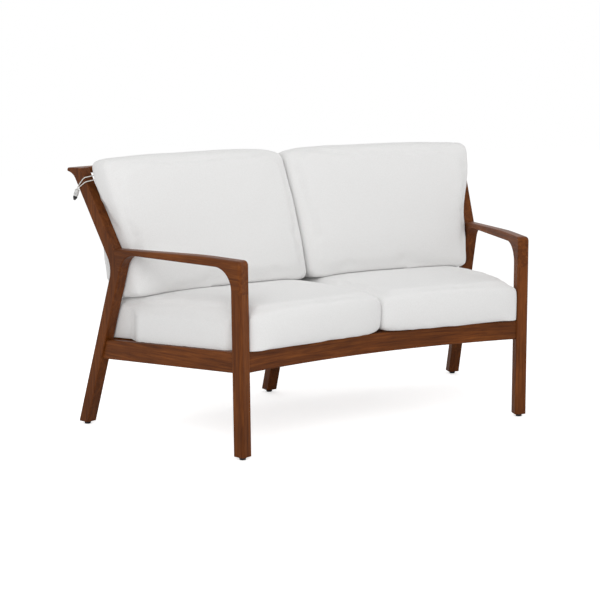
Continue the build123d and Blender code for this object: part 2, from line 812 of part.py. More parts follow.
def section_face(corners, front_bulge, rear_bulge, crown):
    """A cushion's section: flat underneath, with a bulging front, rear and top."""
    front_low, rear_low, rear_high, front_high = corners
    rear_middle = (rear_low + rear_high) * 0.5 + Vector(rear_bulge, 0, 0)
    top_middle = (rear_high + front_high) * 0.5 + Vector(0, crown, 0)
    front_middle = (front_low + front_high) * 0.5 - Vector(front_bulge, 0, 0)
    return make_face(
        [
            Line(front_low, rear_low),
            ThreePointArc(rear_low, rear_middle, rear_high),
            ThreePointArc(rear_high, top_middle, front_high),
            ThreePointArc(front_high, front_middle, front_low),
        ]
    )


def cushion(corners_at, bulges, draw, drop, inset=0):
    """Loft a cushion, or its filling when inset; corners_at gives a section's corners."""
    width = (station(0).origin - station(1).origin).length
    faces = []
    for share, fullness in zip(section_shares, fullness_shares):
        place = (inset + share * (width - 2 * inset)) / width
        loose = 1 - fullness
        pull = loose * draw + inset
        lower = loose * drop + inset
        lift = loose * drop * underside_share + inset
        front_low, rear_low, rear_high, front_high = (Vector(*corner) for corner in corners_at(place))
        corners = (
            front_low + Vector(pull, lift),
            rear_low + Vector(-pull, lift),
            rear_high + Vector(-pull, -lower),
            front_high + Vector(pull, -lower),
        )
        fuller = end_bulge_share + (1 - end_bulge_share) * fullness
        faces.append(station(place) * section_face(corners, *(bulge * fuller for bulge in bulges)))
    return loft(faces).solid()


def along_side(radius, inwards):
    """Distance along the side at which a line beside it meets an arc."""
    base = side_point(0, 0, inwards) - arc_centre
    across = base.dot(side_plane.x_dir)
    return sqrt(across * across - base.dot(base) + radius * radius) - across


def radius_at(share, along):
    point = station(share).from_local_coords(Vector(along, 0, 0)) - arc_centre
    return hypot(point.X, point.Y)


def seat_corners(share):
    belly = 4 * share * (1 - share) * seat_front_belly
    front = lerp(
        -leg_depth / 2 - seat_outer_overhang, front_rail_radius - arc_centre_distance - seat_overhang, share
    )
    rear = lerp(along_side(seat_rear_radius, cushion_side), seat_rear_radius - arc_centre_distance, share)
    front -= belly
    front_low = seat_level(radius_at(share, front)) + rest_gap
    rear_low = seat_level(radius_at(share, rear)) + rest_gap
    rise = seat_cushion_height
    return (front, front_low), (rear, rear_low), (rear, rear_low + rise), (front, front_low + rise)


def seat_surface(share, along):
    """Height of the seat cushion's crowned top."""
    _, _, rear, front = seat_corners(share)
    part = (along - front[0]) / (rear[0] - front[0])
    return lerp(front[1], rear[1], part) + 4 * seat_crown * part * (1 - part)


def side_bulge(inset=0):
    """The seat cushion's side where it swells out over the side rail, between the legs."""
    front_low, rear_low, rear_high, front_high = seat_corners(0)
    high = lerp(front_high[1], rear_high[1], 0.5)
    front = front_leg_rear(high) + side_bulge_gap + inset
    rear = rear_leg_front(high + seat_lift) - side_bulge_gap - inset

    def level(start, end, along):
        return lerp(start[1], end[1], (along - start[0]) / (end[0] - start[0]))

    faces = []
    buried = (-(inset + side_bulge_gap) / (seat_side_bulge - inset), 0)
    for out, shrink in (buried, *side_bulge_shares):
        inwards = cushion_side - out * (seat_side_bulge - inset)
        near, far = front + shrink * side_bulge_draw, rear - shrink * side_bulge_draw
        up = seat_end_drop * underside_share + shrink * side_bulge_draw / 2 + side_bulge_gap / 2 + inset
        down = seat_end_drop + shrink * side_bulge_draw / 2 + side_bulge_gap / 2 + inset
        outline = [
            (near, level(front_low, rear_low, near) + up),
            (far, level(front_low, rear_low, far) + up),
            (far, level(front_high, rear_high, far) - down),
            (near, level(front_high, rear_high, near) - down),
        ]
        plane = side_plane.offset(inwards)
        faces.append(plane * make_face(Polyline(*outline, close=True)))
    return loft(faces).solid()


def back_corners(share):
    foot = back_slat_front(back_foot_level)
    foot_outer = along_side(foot - back_bottom_gap_outer, cushion_side)
    foot_inner = foot - back_bottom_gap_inner - arc_centre_distance
    top_outer = post_front(frame_height) - back_top_gap_outer
    top_inner = crest_front_radius - back_top_gap_inner - arc_centre_distance
    rear_low = lerp(foot_outer, foot_inner, share)
    rear_high = lerp(top_outer, top_inner, share)
    front_low = rear_low - lerp(back_bottom_thickness_outer, back_bottom_thickness_inner, share)
    front_high = rear_high - lerp(back_top_thickness_outer, back_top_thickness_inner, share)
    sag = 4 * seat_crown * ((rear_low - front_low) / 2 / seat_rear_reach) ** 2
    return (
        (front_low, seat_surface(share, front_low) + sag + back_rest_gap),
        (rear_low, seat_surface(share, rear_low) + sag + back_rest_gap),
        (rear_high, back_cushion_top),
        (front_high, back_cushion_top),
    )


seat_bulges = (seat_front_bulge, seat_rear_bulge, seat_crown)
back_bulges = (back_front_bulge, back_rear_bulge, back_crown)
for name, corners_at, bulges, draw, drop in (
    ("seat_cushion", seat_corners, seat_bulges, seat_end_draw, seat_end_drop),
    ("back_cushion", back_corners, back_bulges, back_end_draw, back_end_drop),
):
    shape = cushion(corners_at, bulges, draw, drop)
    filling = cushion(corners_at, bulges, draw, drop, cover_thickness)
    if corners_at is seat_corners:
        shape = (shape + side_bulge()).solid()
        filling = (filling + side_bulge(cover_thickness)).solid()
    both_sides(name + "_cover", (shape - filling).solid())
    both_sides(name + "_filling", filling)


# Ties: two cords from the cushion's side, across the post, into a sprung cord lock
lock_down = Vector(sin(radians(lock_lean)), -cos(radians(lock_lean)), 0)
lock_across = Vector(-lock_down.Y, lock_down.X, 0)
cord_reach = half_width + cord_gap + cord_diameter / 2
lock_origin = Vector(post_rear(lock_top) + lock_behind, lock_top, -cord_reach)
post_up = Vector(sin(radians(post_lean)), cos(radians(post_lean)), 0)
post_ahead = Vector(-post_up.Y, post_up.X, 0)
lock_plane = Plane(
    origin=side_point(lock_origin.X, lock_origin.Y, lock_origin.Z),
    x_dir=side_plane.from_local_coords(lock_across) - side_plane.origin,
    z_dir=side_plane.from_local_coords(-lock_down) - side_plane.origin,
)


def tie_route(drop, hole):
    """The cord's points in the side frame's plane, from the cushion to the lock."""
    height = frame_height - drop
    edge = Vector(post_front(height), height, 0) + post_ahead * (cord_gap + cord_diameter / 2)
    start = edge + post_ahead * tie_slant
    socket = lock_origin + lock_across * hole
    return [
        Vector(start.X, start.Y, cushion_side - cord_seat_gap),
        Vector(edge.X, edge.Y, -cord_reach),
        socket - lock_down * lock_cord_drop,
        socket + lock_down * cord_socket_depth,
    ]


def tie_cord(drop, hole):
    points = tie_route(drop, hole)
    legs = [after - before for before, after in zip(points, points[1:])]
    turn = radians(legs[1].get_angle(legs[2]))
    bend = cord_bend_share * min(legs[1].length, legs[2].length) / tan(turn / 2)
    radii = [edge_radius + cord_gap + cord_diameter / 2, bend]
    route = FilletPolyline(*(side_point(*point) for point in points), radius=radii)
    start = Plane(origin=route @ 0, z_dir=route % 0)
    cord = sweep(start * Circle(cord_diameter / 2), path=route).solid()
    section = pi * cord_diameter**2 / 4
    print("tie cord length", round(route.length, 2), "radii", [round(radius, 2) for radius in radii])
    print("tie cord volume ratio", round(cord.volume / (section * route.length), 4))
    return cord


def lock_body():
    body = cylinder_on(Plane.XY, lock_diameter / 2, -lock_length, 0)
    body = fillet(body.edges().filter_by(GeomType.CIRCLE), lock_edge_radius)
    bore_top = -cord_socket_depth - lock_wall
    body -= cylinder_on(Plane.XY, button_diameter / 2 + button_clearance, -lock_length - overrun, bore_top)
    for side_sign in (-1, 1):
        socket = Plane(origin=(side_sign * lock_cord_spacing / 2, 0, 0))
        radius = cord_diameter / 2 + cord_socket_clearance
        body -= cylinder_on(socket, radius, -cord_socket_depth, overrun)
        window = Plane(
            origin=(side_sign * lock_cord_spacing / 2, 0, window_height - lock_length), z_dir=lock_outwards
        )
        body -= cylinder_on(window, window_diameter / 2, 0, lock_diameter)
    return body.solid()


def lock_button():
    cap_top = -lock_length - button_travel - button_gap
    stem_top = cap_top + button_travel + button_length
    stem = cylinder_on(Plane.XY, button_diameter / 2, cap_top, stem_top)
    shoulder = cap_top - cap_length * cap_shoulder_share
    tip = cap_top - cap_length
    half, end = cap_diameter / 2, cap_tip_diameter / 2
    outline = [(0, cap_top), (half, cap_top), (half, shoulder), (end, tip), (0, tip)]
    cap = revolve(Plane.XZ * make_face(Polyline(*outline, close=True)), Axis.Z)
    return (stem + cap).solid()


def lock_spring():
    top = -cord_socket_depth - lock_wall
    outer = button_diameter / 2
    sleeve = cylinder_on(Plane.XY, outer, top - spring_length, top)
    return (sleeve - cylinder_on(Plane.XY, outer - spring_wall, top - spring_length, top)).solid()


lock_outwards = lock_plane.to_local_coords(lock_plane.origin - side_plane.z_dir)
cords = [
    tie_cord(upper_tie_drop, lock_cord_spacing / 2),
    tie_cord(lower_tie_drop, -lock_cord_spacing / 2),
]
both_sides("cord_lock_body", lock_body().moved(lock_plane.location))
both_sides("cord_lock_button", lock_button().moved(lock_plane.location))
spring = lock_spring().moved(lock_plane.location)
pieces["cord_lock_springs"] = Compound([spring, spring.mirror(Plane.YZ)])
pieces["tie_cord_left"] = Compound(cords)
pieces["tie_cord_right"] = Compound([cord.mirror(Plane.YZ) for cord in cords])

# Groups of fasteners
pieces["frame_dowels"] = Compound(dowels)
pieces["threaded_inserts"] = Compound(inserts)
for name, screws in screw_groups.items():
    pieces[name] = Compound(screws)

low = min(shape.bounding_box().min.Y for shape in pieces.values())
high = max(shape.bounding_box().max.Y for shape in pieces.values())
to_origin = Pos(0, -(low + high) / 2, 0)
os.makedirs("parts", exist_ok=True)
for name, shape in pieces.items():
    export_step(shape.moved(to_origin), "parts/" + name + ".step")
print("pieces", len(pieces), "moved by", round(-(low + high) / 2, 3))
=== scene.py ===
import math

import bmesh
import bpy
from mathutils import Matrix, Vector, noise
from mathutils.bvhtree import BVHTree


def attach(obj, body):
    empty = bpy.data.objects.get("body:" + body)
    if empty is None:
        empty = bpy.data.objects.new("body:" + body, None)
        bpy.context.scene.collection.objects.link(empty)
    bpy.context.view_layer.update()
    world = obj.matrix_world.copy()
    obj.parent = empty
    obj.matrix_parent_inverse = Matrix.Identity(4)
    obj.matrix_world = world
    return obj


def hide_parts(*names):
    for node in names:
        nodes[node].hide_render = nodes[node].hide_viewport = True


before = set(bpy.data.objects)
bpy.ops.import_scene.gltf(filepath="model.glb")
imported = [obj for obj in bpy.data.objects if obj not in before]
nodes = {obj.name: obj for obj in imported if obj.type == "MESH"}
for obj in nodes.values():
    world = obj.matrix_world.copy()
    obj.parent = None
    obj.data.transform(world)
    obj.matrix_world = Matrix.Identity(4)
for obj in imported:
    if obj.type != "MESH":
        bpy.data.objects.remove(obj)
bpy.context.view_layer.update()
scene = bpy.context.scene
scene.view_settings.view_transform = "Standard"

# Where the frame's curves and sides lie, in metres
plan = {
    "frontLine": -0.398038,  # Y of the front feet
    "footHalf": 0.549,
    "splay": math.radians(18.0),
    "arcAhead": 2.4,  # the curves' centre, in front of the front feet
    "railRadius": 2.454,
    "seatTop": 0.341,
    "seatFall": 0.0541,
    "sideRailTop": 0.339,
    "sideRailStart": 0.025,  # along the side
    "sideRailFall": 0.05906,
}
arcCentre = Vector((0, plan["frontLine"] - plan["arcAhead"], 0))
sideAlong = Vector((-math.sin(plan["splay"]), math.cos(plan["splay"]), 0))
sideInward = Vector((math.cos(plan["splay"]), math.sin(plan["splay"]), 0))
sideFoot = Vector((-plan["footHalf"], plan["frontLine"], 0))


# Camera, at the photograph's viewpoint
cameraValues = {
    "place": (-2.920, -4.632, 1.332),
    "tilt": 80.32,
    "turn": -31.36,
    "focal": 96.234,
    "sensor": 36,
}


def placeCamera(values):
    data = bpy.data.cameras.new("photoCamera")
    data.sensor_width = values["sensor"]
    data.lens = values["focal"]
    camera = bpy.data.objects.new("photoCamera", data)
    camera.location = values["place"]
    camera.rotation_euler = (math.radians(values["tilt"]), 0, math.radians(values["turn"]))
    scene.collection.objects.link(camera)
    scene.camera = camera


placeCamera(cameraValues)
print("camera placed")


# Small helpers for node trees
def addNode(tree, kind, **values):
    node = tree.nodes.new(kind)
    for key, value in values.items():
        if key.startswith("in_"):
            node.inputs[key[3:].replace("_", " ")].default_value = value
        else:
            setattr(node, key, value)
    return node


def newMaterial(name):
    material = bpy.data.materials.new(name)
    material.use_nodes = True
    tree = material.node_tree
    shader = tree.nodes["Principled BSDF"]
    return material, tree, shader


def mathNode(tree, operation, first, second=None):
    node = tree.nodes.new("ShaderNodeMath")
    node.operation = operation
    for socket, value in zip(node.inputs, (first, second)):
        if isinstance(value, (int, float)):
            socket.default_value = value
        elif value is not None:
            tree.links.new(value, socket)
    return node.outputs[0]


def rampNode(tree, source, stops):
    ramp = tree.nodes.new("ShaderNodeValToRGB")
    points = ramp.color_ramp.elements
    while len(points) < len(stops):
        points.new(0.5)
    for point, (place, colour) in zip(points, stops):
        point.position = place
        point.color = (*colour, 1)
    tree.links.new(source, ramp.inputs[0])
    return ramp.outputs[0]


def mixColours(tree, blend, factor, first, second):
    mix = tree.nodes.new("ShaderNodeMix")
    mix.data_type = "RGBA"
    mix.blend_type = blend
    for socket, value in ((mix.inputs[0], factor), (mix.inputs[6], first), (mix.inputs[7], second)):
        if isinstance(value, float):
            socket.default_value = value
        elif isinstance(value, tuple):
            socket.default_value = (*value, 1)
        else:
            tree.links.new(value, socket)
    return mix.outputs[2]


def bumpNode(tree, height, strength, distance, below=None):
    bump = addNode(tree, "ShaderNodeBump", in_Strength=strength, in_Distance=distance)
    tree.links.new(height, bump.inputs["Height"])
    if below:
        tree.links.new(below, bump.inputs["Normal"])
    return bump.outputs[0]


def noiseNode(tree, vector, scale, detail, roughness, distortion=0.0):
    texture = addNode(
        tree,
        "ShaderNodeTexNoise",
        in_Scale=scale,
        in_Detail=detail,
        in_Roughness=roughness,
        in_Distortion=distortion,
    )
    tree.links.new(vector, texture.inputs["Vector"])
    return texture.outputs["Fac"]


def objectPlace(tree):
    return addNode(tree, "ShaderNodeTexCoord").outputs["Object"]


def varyRoughness(tree, shader, pattern, swing, lowest):
    varied = mathNode(tree, "MULTIPLY", pattern, swing)
    tree.links.new(mathNode(tree, "ADD", varied, lowest), shader.inputs["Roughness"])


# Walnut stain on a close-grained hardwood, with the grain along each piece
woodValues = {
    "dark": (0.080, 0.021, 0.0036),
    "middle": (0.150, 0.043, 0.0074),
    "light": (0.222, 0.070, 0.0135),
    "stops": (0.30, 0.52, 0.74),  # where those three lie in the figure
    "curveRadius": 2.8,  # unrolls the grain of curved pieces
    "grainNoise": (9.0, 6.0, 0.62, 1.1),  # scale, detail, roughness, distortion
    "grainStretch": (0.35, 8.0, 8.0),
    "grainHeight": (0.10, 0.0006),  # strength and distance of the bump
    "poreNoise": (9.0, 2.0, 0.5),
    "poreStretch": (2.2, 90.0, 90.0),
    "poreTones": [(0.36, (0.50, 0.46, 0.44)), (0.50, (1.0, 1.0, 1.0))],
    "poreShare": 0.6,
    "poreHeight": (0.22, 0.0004),
    "blotchNoise": (3.4, 3.0, 0.5),
    "blotchTones": [(0.32, (0.74, 0.70, 0.68)), (0.70, (1.16, 1.12, 1.08))],
    "roughness": 0.34,  # at its lowest
    "roughSwing": 0.16,
    "gloss": 0.14,
}


def makeWood(name, turn, values, curved=False):
    material, tree, shader = newMaterial(name)
    links = tree.links
    place = objectPlace(tree)
    if curved:
        shifted = addNode(tree, "ShaderNodeVectorMath", operation="SUBTRACT")
        links.new(place, shifted.inputs[0])
        shifted.inputs[1].default_value = arcCentre
        parts = tree.nodes.new("ShaderNodeSeparateXYZ")
        links.new(shifted.outputs[0], parts.inputs[0])
        angle = mathNode(tree, "ARCTAN2", parts.outputs["X"], parts.outputs["Y"])
        squares = mathNode(tree, "MULTIPLY", parts.outputs["X"], parts.outputs["X"])
        deeper = mathNode(tree, "MULTIPLY", parts.outputs["Y"], parts.outputs["Y"])
        radius = mathNode(tree, "SQRT", mathNode(tree, "ADD", squares, deeper))
        joined = tree.nodes.new("ShaderNodeCombineXYZ")
        links.new(mathNode(tree, "MULTIPLY", angle, values["curveRadius"]), joined.inputs["X"])
        links.new(radius, joined.inputs["Y"])
        links.new(parts.outputs["Z"], joined.inputs["Z"])
        place = joined.outputs[0]
    turned = addNode(tree, "ShaderNodeMapping", vector_type="TEXTURE")
    turned.inputs["Rotation"].default_value = turn
    links.new(place, turned.inputs["Vector"])
    stretched = addNode(tree, "ShaderNodeMapping")
    stretched.inputs["Scale"].default_value = values["grainStretch"]
    links.new(turned.outputs[0], stretched.inputs["Vector"])
    fine = addNode(tree, "ShaderNodeMapping")
    fine.inputs["Scale"].default_value = values["poreStretch"]
    links.new(turned.outputs[0], fine.inputs["Vector"])

    figure = noiseNode(tree, stretched.outputs[0], *values["grainNoise"])
    stains = zip(values["stops"], (values["dark"], values["middle"], values["light"]))
    colour = rampNode(tree, figure, list(stains))
    pores = noiseNode(tree, fine.outputs[0], *values["poreNoise"])
    poreTone = rampNode(tree, pores, values["poreTones"])
    colour = mixColours(tree, "MULTIPLY", values["poreShare"], colour, poreTone)
    blotches = noiseNode(tree, place, *values["blotchNoise"])
    blotchTone = rampNode(tree, blotches, values["blotchTones"])
    colour = mixColours(tree, "MULTIPLY", 1.0, colour, blotchTone)
    links.new(colour, shader.inputs["Base Color"])
    varyRoughness(tree, shader, figure, values["roughSwing"], values["roughness"])
    low = bumpNode(tree, pores, *values["poreHeight"])
    links.new(bumpNode(tree, figure, *values["grainHeight"], low), shader.inputs["Normal"])
    shader.inputs["Specular IOR Level"].default_value = values["gloss"]
    return material


upright = math.radians(90)
woods = {
    "upright": makeWood("walnutUpright", (0, upright, 0), woodValues),
    "curved": makeWood("walnutCurved", (0, 0, 0), woodValues, curved=True),
    "deep": makeWood("walnutDeep", (0, 0, upright), woodValues),
    "leftSide": makeWood("walnutLeftSide", (0, 0, upright + plan["splay"]), woodValues),
    "rightSide": makeWood("walnutRightSide", (0, 0, upright - plan["splay"]), woodValues),
}
beechValues = {
    **woodValues,
    "dark": (0.30, 0.19, 0.10),
    "middle": (0.45, 0.31, 0.18),
    "light": (0.58, 0.43, 0.27),
}
beech = makeWood("beechDowel", (0, upright, 0), beechValues)
print("wood ready")


# Plain finishes of the small fittings
plasticValues = {
    "mottleNoise": (60.0, 3.0, 0.5),  # scale, detail, roughness
    "mottleStops": (0.3, 0.7),
    "darker": 0.86,
    "grainNoise": (900.0, 2.0, 0.5),
    "grainDepth": 0.0002,
    "roughSwing": 0.2,
    "roughDrop": 0.1,
}
steelValues = {
    "stainNoise": (140.0, 4.0, 0.6),
    "stainStops": (0.3, 0.65),
    "darker": 0.72,
    "stainHeight": (0.15, 0.0001),  # strength and distance of the bump
    "roughSwing": 0.25,
    "roughDrop": 0.12,
}


def mottled(tree, shader, pattern, colour, stops, darker):
    shade = tuple(part * darker for part in colour)
    tone = rampNode(tree, pattern, list(zip(stops, (shade, colour))))
    tree.links.new(tone, shader.inputs["Base Color"])


def makePlastic(name, colour, roughness, grain, values):
    material, tree, shader = newMaterial(name)
    place = objectPlace(tree)
    mottle = noiseNode(tree, place, *values["mottleNoise"])
    mottled(tree, shader, mottle, colour, values["mottleStops"], values["darker"])
    texture = noiseNode(tree, place, *values["grainNoise"])
    tree.links.new(bumpNode(tree, texture, grain, values["grainDepth"]), shader.inputs["Normal"])
    varyRoughness(tree, shader, mottle, values["roughSwing"], roughness - values["roughDrop"])
    return material


def makeSteel(name, colour, roughness, values):
    material, tree, shader = newMaterial(name)
    stain = noiseNode(tree, objectPlace(tree), *values["stainNoise"])
    mottled(tree, shader, stain, colour, values["stainStops"], values["darker"])
    tree.links.new(bumpNode(tree, stain, *values["stainHeight"]), shader.inputs["Normal"])
    varyRoughness(tree, shader, stain, values["roughSwing"], roughness - values["roughDrop"])
    shader.inputs["Metallic"].default_value = 1.0
    return material


# Each finish's colour, roughness and, for plastic, the strength of its grain
fittings = {
    "glide": makePlastic("glideBlack", (0.018, 0.018, 0.018), 0.5, 0.3, plasticValues),
    "lockBody": makePlastic("lockPale", (0.66, 0.66, 0.65), 0.45, 0.15, plasticValues),
    "lockButton": makePlastic("lockBlack", (0.012, 0.012, 0.012), 0.4, 0.2, plasticValues),
    "zinc": makeSteel("zincSteel", (0.60, 0.60, 0.57), 0.38, steelValues),
    "spring": makeSteel("springSteel", (0.55, 0.55, 0.54), 0.3, steelValues),
}

# The nodes of each finish, by how their names start; the rest is curved wood
zincNodes = ("seat_slat_screws", "back_slat_screws", "frame_screws", "threaded_inserts")
finishes = [
    (fittings["glide"], ("glide",)),
    (fittings["lockBody"], ("cord_lock_body",)),
    (fittings["lockButton"], ("cord_lock_button",)),
    (fittings["spring"], ("cord_lock_springs",)),
    (fittings["zinc"], zincNodes),
    (beech, ("frame_dowels",)),
    (woods["leftSide"], ("armrest_left", "side_rail_left", "corner_block_left")),
    (woods["rightSide"], ("armrest_right", "side_rail_right", "corner_block_right")),
    (woods["upright"], ("front_leg", "rear_leg", "middle_rear_leg", "back_slat")),
    (woods["deep"], ("seat_slat", "centre_rail")),
]
for name, part in nodes.items():
    fitting = [finish for finish, starts in finishes if name.startswith(starts)]
    part.data.materials.clear()
    part.data.materials.append((fitting + [woods["curved"]])[0])
print("frame dressed")


# Screw heads: a near-black cross on each, painted shade of its cross recess, placed where its own head
# faces
recessValues = {
    "armLength": 0.0042,
    "armWidth": 0.0009,
    "depth": 0.0003,
    "turnSeed": 7,
    "endBand": 0.0015,  # how much of a screw's end tells where its head is
    "nodes": ("seat_slat_screws", "back_slat_screws", "frame_screws"),
}
mergeWithin = 0.00002  # points of a CAD mesh that are one


def mergedShape(source):
    shape = bmesh.new()
    shape.from_mesh(source.data)
    bmesh.ops.remove_doubles(shape, verts=shape.verts, dist=mergeWithin)
    return shape


# A screw's head from its points: the middle of its top, and the way it faces
def headPlace(group, band):
    sample = group[::3]  # enough to find the screw's two ends
    pairs = ((first, second) for first in sample for second in sample)
    ends = max(pairs, key=lambda pair: (pair[0] - pair[1]).length)
    axis = (ends[1] - ends[0]).normalized()
    middle = sum(group, Vector()) / len(group)
    reaches = [(point - middle).dot(axis) for point in group]
    low = [point for point, reach in zip(group, reaches) if reach < min(reaches) + band]
    high = [point for point, reach in zip(group, reaches) if reach > max(reaches) - band]
    lowMiddle, highMiddle = sum(low, Vector()) / len(low), sum(high, Vector()) / len(high)
    lowWide = max((point - lowMiddle).length for point in low)
    highWide = max((point - highMiddle).length for point in high)
    run = (highMiddle - lowMiddle).normalized()
    wide, outwards = (high, run) if highWide > lowWide else (low, -run)
    top = max(point.dot(outwards) for point in wide)
    centre = sum(wide, Vector()) / len(wide)
    return centre + outwards * (top - centre.dot(outwards)), outwards


# Every screw of a node, found as its separate shapes, in the mesh's own order
def headPlaces(source, band):
    shape = mergedShape(source)
    found = set()
    places = []
    for start in shape.verts:
        if start in found:
            continue
        found.add(start)
        group, stack = [], [start]
        while stack:
            vertex = stack.pop()
            group.append(vertex.co.copy())
            for edge in vertex.link_edges:
                other = edge.other_vert(vertex)
                if other not in found:
                    found.add(other)
                    stack.append(other)
        places.append(headPlace(group, band))
    shape.free()
    return places


def applyModifiers(piece):
    evaluated = piece.evaluated_get(bpy.context.evaluated_depsgraph_get())
    finished = bpy.data.meshes.new_from_object(evaluated)
    piece.modifiers.clear()
    piece.data = finished


def recessTree(material):
    tree = bpy.data.node_groups.new("crossRecess", "GeometryNodeTree")
    face = tree.interface
    face.new_socket("Geometry", in_out="INPUT", socket_type="NodeSocketGeometry")
    for name in ("Arm Length", "Arm Width", "Depth"):
        face.new_socket(name, in_out="INPUT", socket_type="NodeSocketFloat")
    face.new_socket("Seed", in_out="INPUT", socket_type="NodeSocketInt")
    face.new_socket("Geometry", in_out="OUTPUT", socket_type="NodeSocketGeometry")
    start, end = tree.nodes.new("NodeGroupInput"), tree.nodes.new("NodeGroupOutput")
    arms = tree.nodes.new("GeometryNodeJoinGeometry")
    for across, along in (("Arm Width", "Arm Length"), ("Arm Length", "Arm Width")):
        size = tree.nodes.new("ShaderNodeCombineXYZ")
        for axis, name in (("X", across), ("Y", along), ("Z", "Depth")):
            tree.links.new(start.outputs[name], size.inputs[axis])
        block = tree.nodes.new("GeometryNodeMeshCube")
        tree.links.new(size.outputs[0], block.inputs["Size"])
        tree.links.new(block.outputs["Mesh"], arms.inputs[0])
    facing = tree.nodes.new("GeometryNodeInputNamedAttribute")
    facing.data_type = "FLOAT_VECTOR"
    facing.inputs["Name"].default_value = "facing"
    aligned = tree.nodes.new("FunctionNodeAlignRotationToVector")
    aligned.axis = "Z"
    tree.links.new(facing.outputs["Attribute"], aligned.inputs["Vector"])
    turn = tree.nodes.new("FunctionNodeRandomValue")
    turn.data_type = "FLOAT_VECTOR"
    turn.inputs["Min"].default_value = (0, 0, 0)
    turn.inputs["Max"].default_value = (0, 0, math.pi)
    tree.links.new(start.outputs["Seed"], turn.inputs["Seed"])
    turned = tree.nodes.new("FunctionNodeRotateRotation")
    turned.rotation_space = "LOCAL"
    tree.links.new(aligned.outputs[0], turned.inputs["Rotation"])
    tree.links.new(turn.outputs["Value"], turned.inputs["Rotate By"])
    placed = tree.nodes.new("GeometryNodeInstanceOnPoints")
    tree.links.new(start.outputs["Geometry"], placed.inputs["Points"])
    tree.links.new(arms.outputs[0], placed.inputs["Instance"])
    tree.links.new(turned.outputs[0], placed.inputs["Rotation"])
    realized = tree.nodes.new("GeometryNodeRealizeInstances")
    tree.links.new(placed.outputs[0], realized.inputs[0])
    dressed = tree.nodes.new("GeometryNodeSetMaterial")
    dressed.inputs["Material"].default_value = material
    tree.links.new(realized.outputs[0], dressed.inputs["Geometry"])
    tree.links.new(dressed.outputs[0], end.inputs[0])
    return tree


def makeRecesses(values):
    places = []
    for name in values["nodes"]:
        places += headPlaces(nodes[name], values["endBand"])
    data = bpy.data.meshes.new("screwRecesses")
    data.from_pydata([centre for centre, _ in places], [], [])
    facing = data.attributes.new("facing", "FLOAT_VECTOR", "POINT")
    for entry, (_, outwards) in zip(facing.data, places):
        entry.vector = outwards
    recesses = bpy.data.objects.new("screwRecesses", data)
    scene.collection.objects.link(recesses)
    # Painted shade: thin near-black boxes stand in for the shade inside each cross recess
    shadow = makePlastic("recessShadow", (0.03, 0.03, 0.03), 0.8, 0.2, plasticValues)
    tree = recessTree(shadow)
    modifier = recesses.modifiers.new("recesses", "NODES")
    modifier.node_group = tree
    wanted = {"Arm Length": "armLength", "Arm Width": "armWidth", "Depth": "depth", "Seed": "turnSeed"}
    for item in tree.interface.items_tree:
        if item.in_out == "INPUT" and item.name in wanted:
            modifier[item.identifier] = values[wanted[item.name]]
    applyModifiers(recesses)
    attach(recesses, "frame")
    print("recesses on", len(places), "screw heads")


makeRecesses(recessValues)


# Ties: braided cords from the cushions' sides to the cord locks
tieValues = {
    "thick": 0.0032,
    "upper": [
        (-0.7357, 0.2465, 0.8478),
        (-0.7692, 0.2447, 0.8426),
        (-0.7824, 0.2440, 0.8406),
        (-0.7862, 0.2555, 0.8286),
        (-0.7922, 0.2740, 0.8093),
        (-0.7938, 0.2791, 0.7975),
    ],
    "lower": [
        (-0.7333, 0.2391, 0.8348),
        (-0.7668, 0.2373, 0.8296),
        (-0.7800, 0.2366, 0.8276),
        (-0.7840, 0.2489, 0.8197),
        (-0.7905, 0.2689, 0.8069),
        (-0.7922, 0.2741, 0.7951),
    ],
    "upperLength": 0.1031,
    "lowerLength": 0.0983,
    "dark": (0.60, 0.58, 0.54),  # painted shade between the strands
    "pale": (0.83, 0.82, 0.79),
    "strandScale": 420.0,
    "strandBend": 1.5,
    "strandHeight": (0.5, 0.0003),  # strength and distance of the bump
    "roughness": 0.85,
}


def makeBraid(name, values):
    material, tree, shader = newMaterial(name)
    strands = addNode(tree, "ShaderNodeTexWave", wave_type="BANDS", bands_direction="DIAGONAL")
    strands.inputs["Scale"].default_value = values["strandScale"]
    strands.inputs["Distortion"].default_value = values["strandBend"]
    tree.links.new(objectPlace(tree), strands.inputs["Vector"])
    pattern = strands.outputs["Fac"]
    # The cord's pale colour, with painted shade in the hollows between the strands
    tone = rampNode(tree, pattern, [(0.1, values["dark"]), (0.7, values["pale"])])
    tree.links.new(tone, shader.inputs["Base Color"])
    tree.links.new(bumpNode(tree, pattern, *values["strandHeight"]), shader.inputs["Normal"])
    shader.inputs["Roughness"].default_value = values["roughness"]
    return material


def makeCord(name, points, thick, material):
    data = bpy.data.curves.new(name, "CURVE")
    data.dimensions = "3D"
    data.bevel_depth = thick / 2
    data.bevel_resolution = 4
    data.resolution_u = 16
    data.use_fill_caps = True
    spline = data.splines.new("NURBS")
    spline.points.add(len(points) - 1)
    for point, place in zip(spline.points, points):
        point.co = (*place, 1)
    spline.order_u = 3
    spline.use_endpoint_u = True
    data.materials.append(material)
    cord = bpy.data.objects.new(name, data)
    scene.collection.objects.link(cord)
    return cord


def makeTies(values):
    braid = makeBraid("braidedCord", values)
    for hand, side in (("Left", 1), ("Right", -1)):
        for level in ("upper", "lower"):
            points = [(side * x, y, z) for x, y, z in values[level]]
            cord = makeCord("tieCord" + hand + level.capitalize(), points, values["thick"], braid)
            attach(cord, "frame")
            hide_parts("tie_cord_" + hand.lower())


makeTies(tieValues)
print("ties made")


